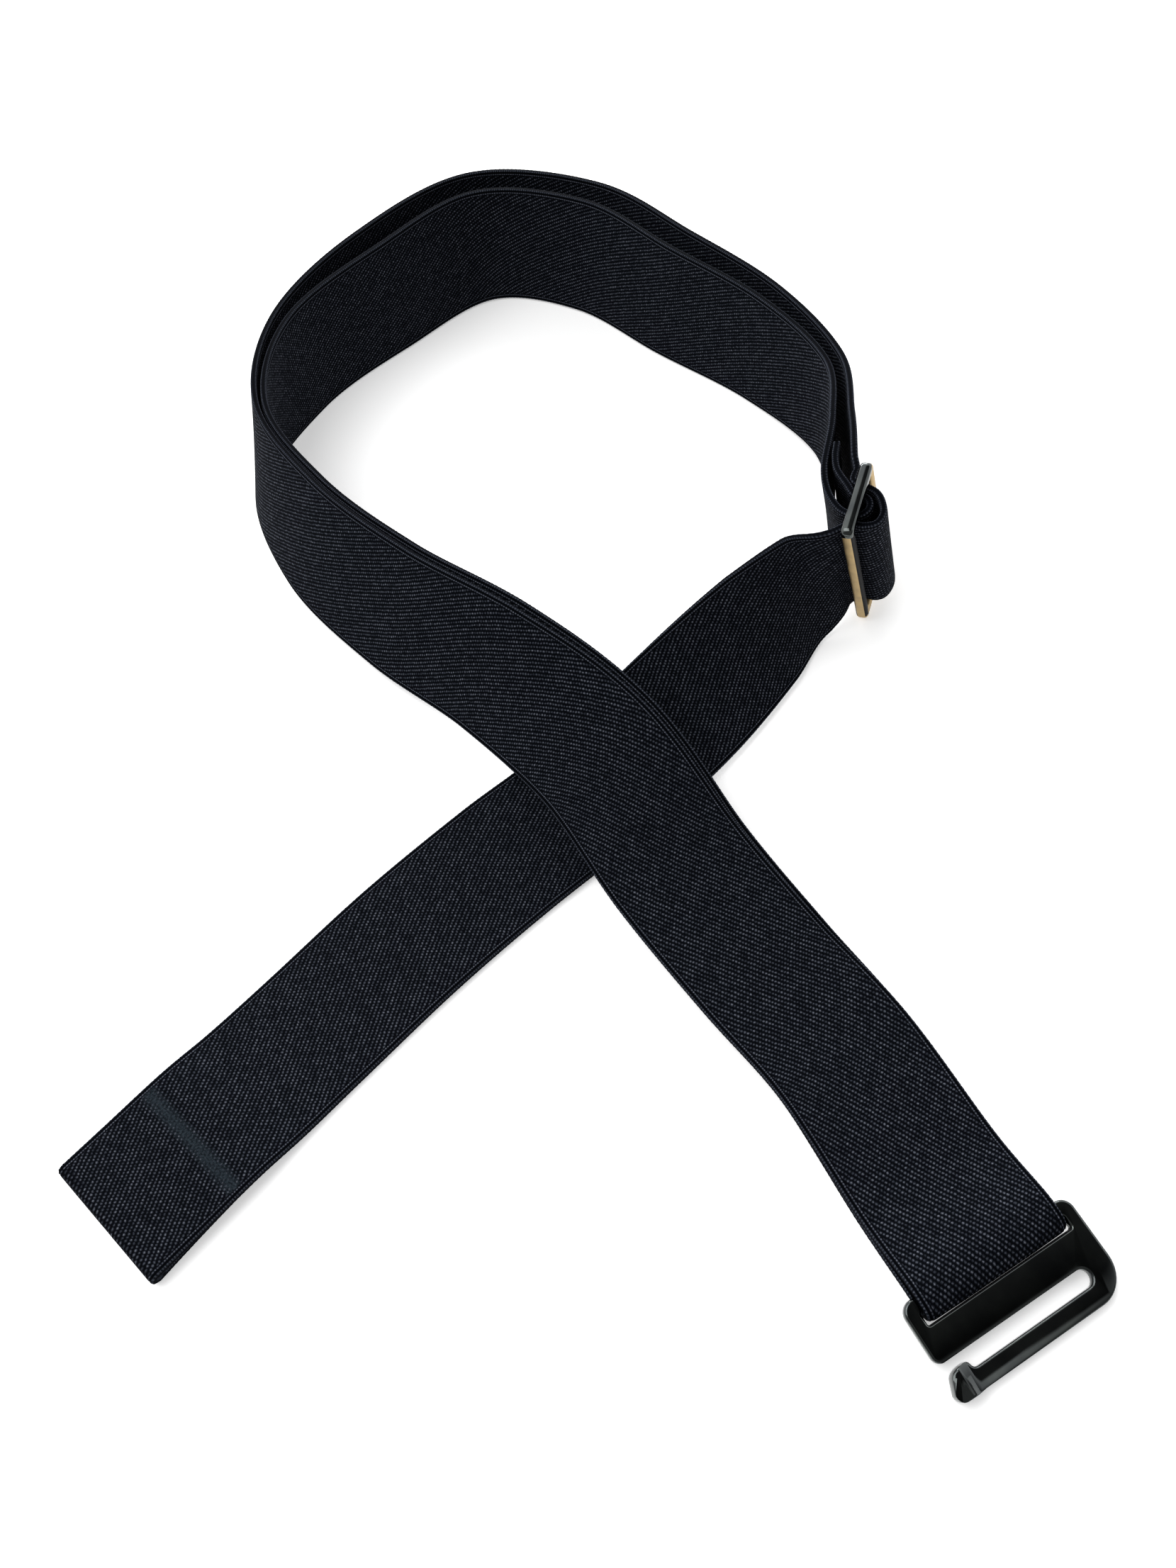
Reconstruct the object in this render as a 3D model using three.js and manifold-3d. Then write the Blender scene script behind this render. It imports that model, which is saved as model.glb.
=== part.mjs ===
// Elastic stretch belt: one doubled length of woven webbing, a three-bar slider and a slotted hook plate.
// Millimetres, +Z up. The belt lies on a surface, the slider's side at the back and the hook at the front right.
import * as THREE from 'three';
import { mergeVertices } from 'three/addons/utils/BufferGeometryUtils.js';
import Module from 'manifold-3d';

const wasm = await Module();
wasm.setup();

// Webbing
const WEB_WIDTH = 30;
const WEB_THICK = 1.5;
const CLEAR = 0.35; // between layers, and between webbing and metal
const WEB_STEP = 4.5; // longest stretch between two rings of the webbing's mesh
const RING_COLUMNS = 2; // flats across the webbing's width

// How the belt lies, seen from above
const LAY_WIDTH = 184;
const LAY_DEPTH = 296;
const RUN_GAP = 8; // widest gap between the two runs, behind the waist loop
const LOOP_PLY = WEB_THICK + CLEAR; // from the middle of one ply to the middle of the next

// Slider: three bars in a rectangular frame that stands on its lower edge
const SLIDER_THICK = 2.6;
const SLIDER_BAR = 2.4; // width of the two outer bars and of the frame's short sides
const CENTRE_BAR = 2.8;
const SLIDER_EASE = 1.8; // what a window has to spare beside its two plies
const SLIDER_SLACK = 0.35; // between a webbing edge and the frame's short side
const SLIDER_CORNER = 1.6;
const SLIDER_ROUND = 0.8;
const SLIDER_ACROSS = 0.468; // place of the centre bar, as shares of the lay
const SLIDER_BACK = 0.07;
const SLIDER_HEADING = -118; // direction from its far bar to its near bar, in degrees
const SLIDER_LEAN = 9; // its top leans into the loop
const SLIDER_NOD = 10; // its far bar is raised

// Hook plate: a bar for the webbing, a plate, an open slot and a hook bar with a raised tip
const HOOK_THICK = 2.2;
const HOOK_BAR = 2.6; // the bar that the webbing wraps
const HOOK_EASE = 0.55; // what the closed slot has to spare beside the webbing's thickness
const HOOK_SLACK = 0.4; // between a webbing edge and the closed slot's end
const HOOK_SIDE = 2.7; // metal beside the closed slot
const HOOK_PLATE = 5.9; // between the two slots
const HOOK_MOUTH = 3.2; // the open slot
const HOOK_LIP = 3.5; // the bar of the hook
const HOOK_REACH = 0.3; // how far that bar passes the plate's side at its open end
const HOOK_CORNER = 6;
const HOOK_EAR = 2.4; // corner radius at the wrapped bar
const HOOK_SLOT_CORNER = 0.4;
const HOOK_ROUND = 0.5;
const HOOK_END = 4.8; // metal at the closed end of the open slot
const HOOK_TIP = 1.3; // how far the tip rises over the plate
const HOOK_TIP_LENGTH = 5.6;
const HOOK_BARB = 1.7; // how far the tip reaches into the open slot
const HOOK_ACROSS = 0.4015; // place of the wrapped bar, as shares of the lay
const HOOK_BACK = -0.4265;
const HOOK_HEADING = 23; // direction along its bars, in degrees
const HOOK_DROP = 6.5; // its hook bar is down on the surface, in degrees

// Loop end and tail
const LOOP_LENGTH = 23; // the ply that is folded under
const WELD_FROM_FOLD = 18;
const WELD_LENGTH = 3.5;
const WELD_MARGIN = 0.7; // from a weld's end to the webbing's edge

// The inner run from the hook to the slider. across and back are shares of the lay, from its middle.
// lean is the webbing's angle in degrees: 0 lies flat, 90 stands on its edge, more leans out of the loop.
// apart is the outer run's gap as a share of RUN_GAP, lift is in thicknesses of webbing, and slip is
// how far the outer run lies back from the inner one's upper edge, in thicknesses too.
const INNER_RUN = [
  { across: 0.37, back: -0.3795, lean: 0, apart: 0.04, lift: 0.06 },
  { across: 0.3155, back: -0.2905, lean: 0, apart: 0.02, lift: 0.12, slip: 0.35 },
  { across: 0.258, back: -0.2235, lean: 2, apart: 0.02, lift: 0.15, slip: 0.9 },
  { across: 0.192, back: -0.1485, lean: 8, apart: 0.03, lift: 1.1, slip: 1 },
  { across: 0.121, back: -0.057, lean: 24, apart: 0.05, lift: 2.6, slip: 1 },
  { across: 0.018, back: 0.0245, lean: 43, apart: 0.05, lift: 1.5, slip: 0.95 },
  { across: -0.102, back: 0.1, lean: 53, apart: 0.04, lift: 0.15, slip: 0.7 },
  { across: -0.206, back: 0.184, lean: 62, apart: 0.02, lift: 0.07, slip: 0.4 },
  { across: -0.26, back: 0.28, lean: 75, apart: 0.04, lift: 0.08, slip: 0.15 },
  { across: -0.202, back: 0.3715, lean: 93, apart: 0.28, lift: 0.05 },
  { across: -0.072, back: 0.4405, lean: 99, apart: 0.82, lift: 0.05 },
  { across: 0.068, back: 0.491, lean: 103, apart: 0.79, lift: 0.06 },
  { across: 0.203, back: 0.4585, lean: 105, apart: 0.75, lift: 0.05 },
  { across: 0.307, back: 0.381, lean: 102, apart: 0.71, lift: 0.05 },
  { across: 0.41, back: 0.304, lean: 97, apart: 0.48, lift: 0.1 },
  { across: 0.472, back: 0.222, lean: 90, apart: 0.25, lift: 1 },
  { across: 0.46, back: 0.155, lean: 86, apart: 0.3, lift: 2.6 },
];

// The single run from the slider to the loop end, in the same shares.
const SINGLE_RUN = [
  { across: 0.391, back: 0.049, lean: 71, lift: 0.13 },
  { across: 0.331, back: 0.0235, lean: 52, lift: 0 },
  { across: 0.221, back: -0.0255, lean: 28, lift: 0 },
  { across: 0.108, back: -0.07, lean: 5, lift: 0.05 },
  { across: -0.01, back: -0.116, lean: 3, lift: 0.05 },
  { across: -0.123, back: -0.165, lean: 2, lift: 0.08 },
  { across: -0.234, back: -0.219, lean: 0, lift: 0.05 },
];
const LOOP_FOLD = { across: -0.452, back: -0.33 };

// Round the slider's centre bar. along runs from the far bar to the near one, out points out of the loop.
// Both are shares of the pitch between two bars. twist turns the webbing's upper edge outward, in degrees.
const INNER_APPROACH = [
  { along: -0.95, out: -1.22, twist: 3 },
  { along: -0.3, out: -0.86, twist: 0 },
  { along: 0.17, out: -0.43, twist: 0 },
];
const TAIL_ROUTE = [
  { along: -0.32, out: -0.17, twist: 0 },
  { along: -0.6, out: -0.46, twist: 1 },
  { along: -1.05, out: -0.88, twist: 2 },
  { along: -1.45, out: -1.06, twist: 3 },
  { along: -1.85, out: -1.15, twist: 4 },
];
const TAIL_WELD_INNER = { along: -1.5, out: -1.36, twist: 4 };
const TAIL_WELD_TAIL = { along: -1.5, out: -1.08, twist: 4 };
const OUTER_APPROACH = [
  { along: -1.5, out: -0.6, twist: 6 },
  { along: -1.05, out: -0.34, twist: 1 },
  { along: -0.77, out: -0.31, twist: 0 },
];

// The outer run's bulge over the wrapped bar, in shares of its distance from that bar.
const BULGE = [
  { along: -1.25, out: -0.3, twist: 0 },
  { along: -1.14, out: 0.05, twist: 0 },
  { along: -0.84, out: 0.72, twist: 0 },
  { along: -0.34, out: 1.08, twist: 0.5 },
  { along: 0.3, out: 1.22, twist: 1.5 },
  { along: 0.86, out: 1.02, twist: 1.5 },
  { along: 1.1, out: 0.5, twist: 0 },
  { along: 1.04, out: -0.1, twist: 0 },
];
const LEAVING = [{ along: 0.92, out: -0.52, twist: -2 }];

const UP = new THREE.Vector3(0, 0, 1);

function turned(direction, degrees, axis) {
  return direction.clone().applyAxisAngle(axis, THREE.MathUtils.degToRad(degrees));
}

function heading(degrees) {
  return turned(new THREE.Vector3(1, 0, 0), degrees, UP);
}

function onLay(row) {
  return new THREE.Vector3(row.across * LAY_WIDTH, row.back * LAY_DEPTH, 0);
}

// A station is a place on the webbing's middle line and the direction across it, toward its upper edge.
function laidStations(rows, before, after) {
  const places = rows.map(onLay);
  const line = [before, ...places, after];
  return rows.map((row, i) => {
    const travel = line[i + 2].clone().sub(line[i]).setZ(0).normalize();
    const side = travel.clone().cross(UP);
    const lean = THREE.MathUtils.degToRad(row.lean);
    const across = side.clone().multiplyScalar(Math.cos(lean)).addScaledVector(UP, Math.sin(lean));
    const place = places[i].clone();
    place.z = (WEB_WIDTH / 2) * Math.sin(lean) + (WEB_THICK / 2) * Math.abs(Math.cos(lean));
    place.z += row.lift * WEB_THICK;
    const slip = (row.slip ?? 0) * WEB_THICK;
    return { place, across, side, lean, gap: (row.apart ?? 0) * RUN_GAP, slip };
  });
}

// The outer run lies outside the inner one where that stands, and on top of it where that is flat.
function outerStation(station) {
  const apart = WEB_THICK + CLEAR + station.gap;
  const place = station.place.clone().addScaledVector(station.side, -apart * Math.sin(station.lean));
  place.z += Math.max(0, apart * Math.cos(station.lean));
  place.addScaledVector(station.across, -station.slip);
  return { place, across: station.across };
}

// The slider's own directions: along the webbing, out of the loop, and up its bars.
const slider = {};
slider.along = heading(SLIDER_HEADING);
slider.out = UP.clone().cross(slider.along);
slider.up = turned(UP, SLIDER_LEAN, slider.along);
slider.out = turned(slider.out, SLIDER_LEAN, slider.along);
slider.along = turned(slider.along, SLIDER_NOD, slider.out);
slider.up = turned(slider.up, SLIDER_NOD, slider.out);
slider.height = WEB_WIDTH + 2 * SLIDER_SLACK + 2 * SLIDER_BAR;
slider.window = 2 * (CLEAR + WEB_THICK) + SLIDER_EASE;
slider.pitch = CENTRE_BAR / 2 + slider.window + SLIDER_BAR / 2;
slider.length = 2 * slider.pitch + SLIDER_BAR;
slider.centre = onLay({ across: SLIDER_ACROSS, back: SLIDER_BACK });
slider.centre.z = (slider.height / 2) * slider.up.z - (slider.length / 2) * slider.along.z;
slider.centre.z += (SLIDER_THICK / 2) * Math.abs(slider.out.z);

function atSlider(along, out, twist = 0) {
  const place = slider.centre.clone().addScaledVector(slider.along, along).addScaledVector(slider.out, out);
  return { place, across: turned(slider.up, -twist, slider.along) };
}

function sliderStations(rows, unit) {
  return rows.map((row) => atSlider(row.along * unit, row.out * unit, row.twist));
}

// Half a turn or so of stations round a bar, from one angle to another in degrees.
function roundBar(at, radius, from, to, count) {
  const stations = [];
  for (let i = 0; i <= count; i += 1) {
    const angle = THREE.MathUtils.degToRad(from + ((to - from) * i) / count);
    stations.push(at(radius * Math.cos(angle), radius * Math.sin(angle)));
  }
  return stations;
}

// The hook plate's own directions: along its bars, and from the webbing toward the hook.
const hook = {};
hook.across = heading(HOOK_HEADING);
hook.up = turned(UP, HOOK_DROP, hook.across);
hook.forward = hook.across.clone().cross(hook.up);
hook.bar = onLay({ across: HOOK_ACROSS, back: HOOK_BACK });
hook.bar.z = (WEB_THICK + CLEAR + HOOK_THICK / 2) / hook.up.z;
hook.slot = WEB_THICK + CLEAR + HOOK_EASE;
hook.slotHalf = WEB_WIDTH / 2 + HOOK_SLACK;
hook.length = HOOK_BAR + hook.slot + HOOK_PLATE + HOOK_MOUTH + HOOK_LIP;

function atHook(forward, up) {
  const place = hook.bar.clone().addScaledVector(hook.forward, forward).addScaledVector(hook.up, up);
  return { place, across: hook.across };
}

// A closed ribbon through the stations: a smooth middle line with a flat section across it.
function ribbon(stations) {
  const middle = new THREE.CatmullRomCurve3(stations.map((s) => s.place), false, 'centripetal');
  const across = new THREE.CatmullRomCurve3(stations.map((s) => s.across), false, 'catmullrom');
  const spans = stations.length - 1;
  const at = [];
  for (let i = 0; i < spans; i += 1) {
    const steps = Math.ceil(stations[i].place.distanceTo(stations[i + 1].place) / WEB_STEP);
    for (let k = 0; k < steps; k += 1) {
      at.push((i + k / steps) / spans);
    }
  }
  at.push(1);
  const points = [];
  for (const t of at) {
    const travel = middle.getTangent(t);
    const wide = across.getPoint(t);
    wide.addScaledVector(travel, -wide.dot(travel)).normalize();
    const thick = travel.clone().cross(wide);
    for (const face of [-1, 1]) {
      for (let c = 0; c <= RING_COLUMNS; c += 1) {
        const share = (c / RING_COLUMNS - 0.5) * -face;
        points.push(middle.getPoint(t).addScaledVector(wide, share * WEB_WIDTH)
          .addScaledVector(thick, (face * WEB_THICK) / 2));
      }
    }
  }
  return ringsToGeometry(points, 2 * (RING_COLUMNS + 1));
}

function ringsToGeometry(points, ring) {
  const index = [];
  const rings = points.length / ring;
  for (let i = 0; i + 1 < rings; i += 1) {
    for (let k = 0; k < ring; k += 1) {
      const a = i * ring + k;
      const b = i * ring + ((k + 1) % ring);
      index.push(a, b, b + ring, a, b + ring, a + ring);
    }
  }
  const last = (rings - 1) * ring;
  const half = ring / 2;
  for (let k = 0; k + 1 < half; k += 1) {
    const a = ring - 1 - k;
    index.push(k, a, k + 1, a, a - 1, k + 1);
    index.push(last + k, last + k + 1, last + a, last + a, last + k + 1, last + a - 1);
  }
  const geometry = new THREE.BufferGeometry();
  geometry.setAttribute('position', new THREE.Float32BufferAttribute(points.flatMap((p) => p.toArray()), 3));
  geometry.setIndex(index);
  return geometry;
}

function solid(geometry) {
  geometry.deleteAttribute('normal');
  geometry.deleteAttribute('uv');
  const merged = mergeVertices(geometry, 1e-4);
  return new wasm.Manifold(new wasm.Mesh({
    numProp: 3,
    vertProperties: new Float32Array(merged.attributes.position.array),
    triVerts: new Uint32Array(merged.index.array),
  }));
}

function fromSolid(manifold) {
  const mesh = manifold.getMesh();
  const geometry = new THREE.BufferGeometry();
  geometry.setAttribute('position', new THREE.BufferAttribute(mesh.vertProperties, 3));
  geometry.setIndex(new THREE.BufferAttribute(mesh.triVerts, 1));
  return geometry;
}

// A welded band joins two plies: it fills the gap between them from one middle line to the other.
function weld(lower, upper, along, length) {
  const rise = upper.place.clone().sub(lower.place);
  const wide = lower.across.clone().normalize();
  const thick = rise.clone().addScaledVector(wide, -rise.dot(wide)).normalize();
  const geometry = new THREE.BoxGeometry(length, WEB_WIDTH - 2 * WELD_MARGIN, rise.length());
  const middle = lower.place.clone().addScaledVector(rise, 0.5);
  const forward = along.clone().addScaledVector(wide, -along.dot(wide));
  forward.addScaledVector(thick, -forward.dot(thick)).normalize();
  const frame = new THREE.Matrix4().makeBasis(forward, thick.clone().cross(forward), thick).setPosition(middle);
  geometry.applyMatrix4(frame);
  return solid(geometry);
}

function webbing() {
  const wrap = CENTRE_BAR / 2 + CLEAR + WEB_THICK / 2;
  const over = wrap + WEB_THICK + CLEAR;
  const hookWrap = HOOK_THICK / 2 + CLEAR + WEB_THICK / 2;
  const hookShift = (HOOK_BAR - HOOK_THICK) / 2;

  const tail = sliderStations(TAIL_ROUTE, slider.pitch).reverse();
  const approach = sliderStations(INNER_APPROACH, slider.pitch);
  const inner = laidStations(INNER_RUN, hook.bar, approach[0].place);
  const single = laidStations(SINGLE_RUN, slider.centre, onLay(LOOP_FOLD));

  const wrapped = roundBar(atSlider, wrap, 186, -20, 7);
  const hooked = [
    atHook(-HOOK_BAR, -hookWrap),
    ...roundBar((f, u) => atHook(f + hookShift, u), hookWrap, -90, 90, 6),
    atHook(-HOOK_BAR, hookWrap),
  ];
  const bulge = sliderStations(BULGE, over);
  const leaving = sliderStations(LEAVING, slider.pitch);

  // The loop end: the upper ply, the fold, and the ply beneath it.
  const fold = onLay(LOOP_FOLD);
  const lastRow = onLay(SINGLE_RUN[SINGLE_RUN.length - 1]);
  const inward = lastRow.clone().sub(fold).normalize();
  const loopAcross = inward.clone().cross(UP).negate();
  const atLoop = (distance, up) => ({
    place: fold.clone().addScaledVector(inward, distance).addScaledVector(UP, WEB_THICK / 2 + up),
    across: loopAcross,
  });
  const foldRadius = LOOP_PLY / 2;
  const beforeFold = 3 * foldRadius;
  const upper = [atLoop(1.6 * LOOP_LENGTH, 0.3 * LOOP_PLY), atLoop(1.13 * LOOP_LENGTH, LOOP_PLY)];
  upper.push(atLoop(LOOP_LENGTH / 2, LOOP_PLY), atLoop(beforeFold, LOOP_PLY));
  const folded = roundBar((f, u) => atLoop(WEB_THICK / 2 + foldRadius - f, foldRadius + u), foldRadius, 90, -90, 6);
  const under = [atLoop(beforeFold, 0), atLoop(LOOP_LENGTH / 2, 0), atLoop(LOOP_LENGTH, 0)];

  const stations = [
    ...tail, ...wrapped, ...approach.slice().reverse(), ...inner.slice().reverse(),
    ...hooked,
    ...inner.map(outerStation), ...sliderStations(OUTER_APPROACH, slider.pitch), ...bulge, ...leaving,
    ...single, ...upper, ...folded, ...under,
  ];
  const strip = solid(ribbon(stations));
  const loopWeld = weld(atLoop(WELD_FROM_FOLD, 0), atLoop(WELD_FROM_FOLD, LOOP_PLY), inward, WELD_LENGTH);
  const beside = sliderStations([TAIL_WELD_INNER, TAIL_WELD_TAIL], slider.pitch);
  const tailWeld = weld(beside[0], beside[1], slider.along, WELD_LENGTH);
  return fromSolid(strip.add(loopWeld).add(tailWeld));
}

// A flat plate with rounded edges: an outline and its holes, extruded and centred on its thickness.
function plate(outline, holes, thick, round) {
  outline.holes = holes;
  const geometry = new THREE.ExtrudeGeometry(outline, {
    depth: thick - 2 * round,
    bevelThickness: round,
    bevelSize: round,
    bevelOffset: -round,
    bevelSegments: 3,
    curveSegments: 6,
  });
  return geometry.translate(0, 0, round - thick / 2);
}

function roundedRect(shape, left, bottom, right, top, corner) {
  const r = Math.min(corner, (right - left) / 2, (top - bottom) / 2);
  shape.moveTo(left + r, bottom);
  shape.lineTo(right - r, bottom);
  shape.absarc(right - r, bottom + r, r, -Math.PI / 2, 0, false);
  shape.lineTo(right, top - r);
  shape.absarc(right - r, top - r, r, 0, Math.PI / 2, false);
  shape.lineTo(left + r, top);
  shape.absarc(left + r, top - r, r, Math.PI / 2, Math.PI, false);
  shape.lineTo(left, bottom + r);
  shape.absarc(left + r, bottom + r, r, Math.PI, 1.5 * Math.PI, false);
  return shape;
}

function sliderFrame() {
  const halfLong = slider.length / 2;
  const halfHigh = slider.height / 2;
  const outline = roundedRect(new THREE.Shape(), -halfLong, -halfHigh, halfLong, halfHigh, SLIDER_CORNER);
  const inner = CENTRE_BAR / 2;
  const outer = halfLong - SLIDER_BAR;
  const high = halfHigh - SLIDER_BAR;
  const windows = [
    roundedRect(new THREE.Path(), inner, -high, outer, high, SLIDER_CORNER / 2),
    roundedRect(new THREE.Path(), -outer, -high, -inner, high, SLIDER_CORNER / 2),
  ];
  const geometry = plate(outline, windows, SLIDER_THICK, SLIDER_ROUND);
  const frame = new THREE.Matrix4().makeBasis(slider.along, slider.up, slider.out.clone().negate());
  return fromSolid(solid(geometry.applyMatrix4(frame.setPosition(slider.centre))));
}

// The open end of the hook bar: a barb into the open slot, a slanted end and a round front corner.
function tipOutline(outline, mouthEnd, front, open) {
  const neck = open + HOOK_TIP_LENGTH;
  const peak = mouthEnd - HOOK_BARB;
  outline.lineTo(mouthEnd, neck + HOOK_BARB / 2);
  outline.quadraticCurveTo(mouthEnd, neck, (mouthEnd + peak) / 2, neck - HOOK_BARB / 8);
  outline.quadraticCurveTo(peak, neck - HOOK_BARB / 4, peak, neck - HOOK_TIP_LENGTH / 4);
  outline.quadraticCurveTo(peak, open + HOOK_TIP_LENGTH / 4, mouthEnd - HOOK_BARB / 5, open + HOOK_TIP_LENGTH / 6);
  outline.lineTo(front - HOOK_LIP / 2, open);
  outline.quadraticCurveTo(front, open, front, open + HOOK_LIP / 2);
}

// The tip rises over the plate in two flats with a crease between them.
function raisedTip(mouthEnd, front, open) {
  const neck = open + HOOK_TIP_LENGTH;
  const base = HOOK_THICK / 2;
  const outline = new THREE.Shape();
  outline.moveTo(mouthEnd, neck + HOOK_LIP);
  tipOutline(outline, mouthEnd, front, open);
  outline.lineTo(front, neck + HOOK_LIP);
  const tall = solid(plate(outline, [], HOOK_THICK + 2 * HOOK_TIP, HOOK_ROUND));
  const flats = new THREE.Shape();
  flats.moveTo(neck, 0);
  flats.lineTo(neck, base - HOOK_ROUND);
  flats.lineTo(open + HOOK_TIP_LENGTH / 2, base + HOOK_TIP);
  flats.lineTo(open - HOOK_TIP_LENGTH / 2, base + HOOK_TIP / 2);
  flats.lineTo(open - HOOK_TIP_LENGTH / 2, 0);
  const wedge = new THREE.ExtrudeGeometry(flats, { depth: 2 * front, bevelEnabled: false });
  const turn = new THREE.Matrix4().makeBasis(new THREE.Vector3(0, 1, 0), UP, new THREE.Vector3(1, 0, 0));
  return tall.intersect(solid(wedge.applyMatrix4(turn)));
}

// The hook plate, in its own frame: x runs from the wrapped bar toward the hook, y along its bars, z up.
function hookPlate() {
  const half = hook.slotHalf + HOOK_SIDE;
  const back = -HOOK_BAR / 2;
  const slotEnd = back + HOOK_BAR + hook.slot;
  const mouthStart = slotEnd + HOOK_PLATE;
  const mouthEnd = mouthStart + HOOK_MOUTH;
  const front = back + hook.length;
  const open = -half - HOOK_REACH;
  const soft = HOOK_MOUTH / 2;
  const right = Math.PI / 2;
  const outline = new THREE.Shape();
  outline.moveTo(back + HOOK_EAR, half);
  outline.absarc(back + HOOK_EAR, half - HOOK_EAR, HOOK_EAR, right, 2 * right, false);
  outline.lineTo(back, -half + HOOK_EAR);
  outline.absarc(back + HOOK_EAR, -half + HOOK_EAR, HOOK_EAR, 2 * right, 3 * right, false);
  outline.lineTo(mouthStart - soft, -half);
  outline.absarc(mouthStart - soft, -half + soft, soft, -right, 0, false);
  outline.lineTo(mouthStart, half - HOOK_END - soft);
  outline.absarc(mouthStart + soft, half - HOOK_END - soft, soft, 2 * right, 0, true);
  tipOutline(outline, mouthEnd, front, open);
  outline.lineTo(front, half - HOOK_CORNER);
  outline.absarc(front - HOOK_CORNER, half - HOOK_CORNER, HOOK_CORNER, 0, right, false);
  const side = hook.slotHalf;
  const slot = roundedRect(new THREE.Path(), back + HOOK_BAR, -side, slotEnd, side, HOOK_SLOT_CORNER);
  const body = solid(plate(outline, [slot], HOOK_THICK, HOOK_ROUND));
  const tip = raisedTip(mouthEnd, front, open);
  const frame = new THREE.Matrix4().makeBasis(hook.forward, hook.across, hook.up).setPosition(hook.bar);
  return fromSolid(body.add(tip)).applyMatrix4(frame);
}

const materials = {
  webbing: new THREE.MeshStandardMaterial({ color: 0x18191d, roughness: 0.9, metalness: 0 }),
  slider: new THREE.MeshStandardMaterial({ color: 0x8a7a60, roughness: 0.3, metalness: 1 }),
  hook: new THREE.MeshStandardMaterial({ color: 0x55575a, roughness: 0.25, metalness: 1 }),
};

function piece(name, geometry, material) {
  const mesh = new THREE.Mesh(geometry, material);
  mesh.name = name;
  return mesh;
}

const belt = new THREE.Group();
belt.name = 'elastic_stretch_belt';
belt.add(piece('elastic_webbing', webbing(), materials.webbing));
belt.add(piece('slider_frame', sliderFrame(), materials.slider));
belt.add(piece('hook_plate', hookPlate(), materials.hook));

// The origin is the middle of the belt's outer box, at the surface that it lies on.
const bounds = new THREE.Box3().setFromObject(belt);
const middle = bounds.getCenter(new THREE.Vector3());
belt.position.set(-middle.x, -middle.y, -bounds.min.z);

export default belt;
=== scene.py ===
"""Elastic stretch belt: woven webbing, a three-bar slider and a slotted hook plate, on a white table."""
import math

import bmesh
import bpy
from bpy.props import FloatProperty, FloatVectorProperty, PointerProperty
from mathutils import Matrix, Vector


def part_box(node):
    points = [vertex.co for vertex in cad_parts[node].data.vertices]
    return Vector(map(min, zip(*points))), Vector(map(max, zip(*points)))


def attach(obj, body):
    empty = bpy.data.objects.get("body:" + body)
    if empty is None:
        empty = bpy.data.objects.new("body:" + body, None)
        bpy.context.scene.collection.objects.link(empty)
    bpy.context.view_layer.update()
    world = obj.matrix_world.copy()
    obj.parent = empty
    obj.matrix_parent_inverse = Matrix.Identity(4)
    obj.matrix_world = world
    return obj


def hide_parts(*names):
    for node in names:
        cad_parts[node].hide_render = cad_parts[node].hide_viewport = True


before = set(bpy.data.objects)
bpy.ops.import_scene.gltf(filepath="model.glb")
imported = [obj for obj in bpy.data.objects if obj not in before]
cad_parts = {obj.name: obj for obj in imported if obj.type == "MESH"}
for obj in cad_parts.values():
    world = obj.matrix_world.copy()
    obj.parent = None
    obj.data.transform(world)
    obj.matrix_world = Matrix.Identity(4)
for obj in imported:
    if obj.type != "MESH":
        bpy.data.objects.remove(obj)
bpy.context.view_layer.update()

bl_info = {
    "name": "Elastic stretch belt",
    "version": (1, 0, 0),
    "blender": (4, 5, 0),
    "location": "View3D > Sidebar > Belt",
    "description": "Builds the belt's webbing, slider, hook plate and stage",
    "category": "Object",
}

MM = 0.001

# Sizes are in millimetres, from the middle of the lay. The solids follow the same sizes and tables.
WEB_WIDTH = 30.0
WEB_THICK = 1.5

# Between two plies, and between a ply and the metal.
CLEAR = 0.35
PLY = WEB_THICK + CLEAR

# The whole lay, and the widest gap between the two runs.
LAY = Vector((184.0, 296.0, 0.0))
RUN_GAP = 8.0

# The slider: its bars, what a window has to spare beside two plies, and what it has to spare at an edge.
SLIDER_BAR = 2.4
CENTRE_BAR = 2.8
SLIDER_THICK = 2.6
SLIDER_EASE = 1.8
SLIDER_SLACK = 0.35
SLIDER_WINDOW = 2 * PLY + SLIDER_EASE
SLIDER_PITCH = CENTRE_BAR / 2 + SLIDER_WINDOW + SLIDER_BAR / 2
SLIDER_HIGH = WEB_WIDTH + 2 * SLIDER_SLACK + 2 * SLIDER_BAR
SLIDER_LONG = 2 * SLIDER_PITCH + SLIDER_BAR

# Places are shares of the lay, across and back. Headings, leans and drops are in degrees.
SLIDER_AT = (0.468, 0.07)
SLIDER_HEADING = -118.0
SLIDER_LEAN = 9.0
SLIDER_NOD = 10.0
HOOK_THICK = 2.2
HOOK_BAR = 2.6
HOOK_AT = (0.4015, -0.4265)
HOOK_HEADING = 23.0
HOOK_DROP = 6.5

# The closed slot's front wall, which is given painted shade, lies between the wrapped bar and this far ahead
# of it, and faces back.
HOOK_SLOT_AHEAD = 10.0
HOOK_FACING_BACK = 0.5

# Round its bar the webbing swells forward and fills the closed slot, apart from the slot's two ends. The
# higher the power, the nearer to its edges the webbing stays full.
SLOT_FILL = 0.5
SLOT_FILL_WITHIN = 4.0
SLOT_FILL_POWER = 16

# The loop end: its length from the fold, and the weld's place and size. A weld's rim fades over the blur.
LOOP_LENGTH = 23.0
LOOP_FOLD = (-0.452, -0.33)
WELD_FROM_FOLD = 18.0
WELD_LENGTH = 2.8
WELD_BLUR = 1.2

# How far the folded ply has crept sideways at its end, and its share of that by the fold and half way along.
PLY_CREEP = 0.9
CREEP_BY_FOLD = 0.1
CREEP_HALF_WAY = 0.6

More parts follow.
